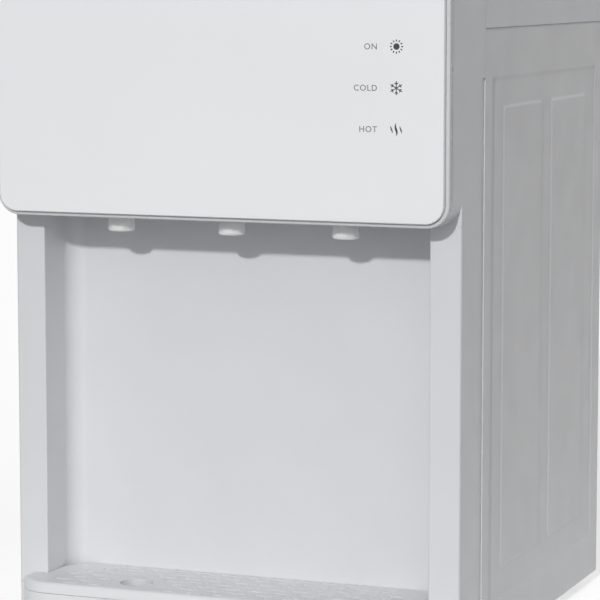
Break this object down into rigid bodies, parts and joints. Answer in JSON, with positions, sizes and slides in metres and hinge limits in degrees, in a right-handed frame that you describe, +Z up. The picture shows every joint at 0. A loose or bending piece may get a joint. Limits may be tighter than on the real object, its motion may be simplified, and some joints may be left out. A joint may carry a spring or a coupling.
{
  "type": "countertop water dispenser",
  "caption": "White countertop water dispenser for a bottle on top, with push buttons and taps over an alcove, a drip tray, and a wire condenser on the back.",
  "frame": {"origin": "centre of the whole object's box, on the surface that its feet stand on", "axes": "+X to the right seen from the front, +Y to the back, +Z up; the front plate faces -Y"},
  "size_m": [0.31, 0.38, 0.512],
  "materials": {
    "shell_white": "satin moulded ABS",
    "plate_white": "glossy moulded plate",
    "bezel_grey": "satin moulded ABS",
    "steel_white": "white powder coat on steel sheet",
    "tray_white": "satin moulded plastic",
    "tap_white": "food-grade moulded plastic",
    "key_red": "moulded plastic",
    "key_grey": "moulded plastic",
    "key_blue": "moulded plastic",
    "rod_white": "acetal",
    "clear_guide": "diffusing acrylic",
    "circuit_green": "solder-masked laminate",
    "zinc_steel": "zinc-plated steel",
    "stainless": "brushed stainless steel",
    "spring_steel": "spring steel",
    "black_enamel": "black enamel",
    "condenser_black": "black enamel on steel tube and wire",
    "copper": "drawn copper",
    "rubber_grey": "moulded rubber",
    "silicone": "translucent silicone",
    "foam_white": "expanded polystyrene",
    "felt_grey": "glass-fibre felt",
    "black_plastic": "moulded plastic",
    "rocker_red": "moulded plastic",
    "rocker_green": "moulded plastic",
    "band_brass": "mica band heater in a metal sheath"
  },
  "bodies": {
    "case": {"front_cover": "shell_white", "front_base": "shell_white", "front_bezel": "bezel_grey", "front_plate": "plate_white", "light_guides": "clear_guide", "indicator_board": "circuit_green", "right_panel": "steel_white", "left_panel": "steel_white", "back_panel": "steel_white", "top_cover": "shell_white", "base_pan": "zinc_steel", "feet": "rubber_grey", "foot_screws": "zinc_steel", "case_screws": "zinc_steel", "hot_spring": "spring_steel", "room_spring": "spring_steel", "cold_spring": "spring_steel", "hot_tap": "tap_white", "room_tap": "tap_white", "cold_tap": "tap_white", "tap_bracket": "zinc_steel", "seat_gasket": "silicone", "cold_tank": "stainless", "separator": "rod_white", "tank_foam": "foam_white", "evaporator_coil": "copper", "tank_shelf": "zinc_steel", "hot_tank": "stainless", "heater_band": "band_brass", "hot_jacket": "felt_grey", "hot_stand": "zinc_steel", "compressor": "black_enamel", "comp_grommets": "rubber_grey", "comp_bolts": "zinc_steel", "relay_cover": "black_plastic", "filter_drier": "copper", "refrigerant_pipes": "copper", "condenser_tube": "condenser_black", "condenser_wires": "condenser_black", "condenser_clips": "black_plastic", "water_hoses": "silicone", "drain_spigot": "tap_white", "switch_housings": "black_plastic", "cord_gland": "black_plastic", "control_board": "circuit_green"},
    "tray": {"tray_basin": "tray_white"},
    "grille": {"tray_grille": "tray_white"},
    "seat": {"bottle_seat": "shell_white", "feed_probe": "tap_white"},
    "hot_key": {"hot_button": "key_red"},
    "room_key": {"room_button": "key_grey"},
    "cold_key": {"cold_button": "key_blue"},
    "lock_slider": {"child_lock": "shell_white"},
    "hot_push_rod": {"hot_rod": "rod_white"},
    "room_push_rod": {"room_rod": "rod_white"},
    "cold_push_rod": {"cold_rod": "rod_white"},
    "cap": {"drain_cap": "tap_white"},
    "hot_switch": {"hot_rocker": "rocker_red"},
    "cold_switch": {"cold_rocker": "rocker_green"}
  },
  "joints": [
    {"name": "hot_press", "type": "hinge", "parent": "case", "child": "hot_key", "pos_m": [-0.078, -0.12698, 0.48741], "axis": [1, 0, 0], "range_deg": [0, 8], "stiffness_Nm_per_rad": 1.2, "springref_deg": -2.86},
    {"name": "room_press", "type": "hinge", "parent": "case", "child": "room_key", "pos_m": [0, -0.12698, 0.48741], "axis": [1, 0, 0], "range_deg": [0, 8], "stiffness_Nm_per_rad": 1.2, "springref_deg": -2.86},
    {"name": "cold_press", "type": "hinge", "parent": "case", "child": "cold_key", "pos_m": [0.078, -0.12698, 0.48741], "axis": [1, 0, 0], "range_deg": [0, 8], "stiffness_Nm_per_rad": 1.2, "springref_deg": -2.86},
    {"name": "hot_rod_slide", "type": "slide", "parent": "case", "child": "hot_push_rod", "axis": [0, 0, -1], "range_m": [0, 0.005], "deforming": ["hot_spring"]},
    {"name": "room_rod_slide", "type": "slide", "parent": "case", "child": "room_push_rod", "axis": [0, 0, -1], "range_m": [0, 0.005], "deforming": ["room_spring"]},
    {"name": "cold_rod_slide", "type": "slide", "parent": "case", "child": "cold_push_rod", "axis": [0, 0, -1], "range_m": [0, 0.005], "deforming": ["cold_spring"]},
    {"name": "child_lock_slide", "type": "slide", "parent": "hot_key", "child": "lock_slider", "axis": [0, 0.8958, 0.4445], "range_m": [0, 0.005]},
    {"name": "tray_slide", "type": "slide", "parent": "case", "child": "tray", "axis": [0, -1, 0], "range_m": [0, 0.12]},
    {"name": "grille_lift", "type": "slide", "parent": "tray", "child": "grille", "axis": [0, 0, 1], "range_m": [0, 0.05]},
    {"name": "seat_lift", "type": "slide", "parent": "case", "child": "seat", "axis": [0, 0, 1], "range_m": [0, 0.11]},
    {"name": "drain_cap_pull", "type": "slide", "parent": "case", "child": "cap", "axis": [0, 1, 0], "range_m": [0, 0.03]},
    {"name": "hot_switch_rock", "type": "hinge", "parent": "case", "child": "hot_switch", "pos_m": [0.088, 0.1634, 0.074], "axis": [-1, 0, 0], "range_deg": [0, 18]},
    {"name": "cold_switch_rock", "type": "hinge", "parent": "case", "child": "cold_switch", "pos_m": [0.116, 0.1634, 0.074], "axis": [-1, 0, 0], "range_deg": [0, 18]}
  ],
  "couplings": [
    {"joint": "hot_rod_slide", "follows": "hot_press", "m_per_rad": 0.034622},
    {"joint": "room_rod_slide", "follows": "room_press", "m_per_rad": 0.034622},
    {"joint": "cold_rod_slide", "follows": "cold_press", "m_per_rad": 0.034622}
  ]
}
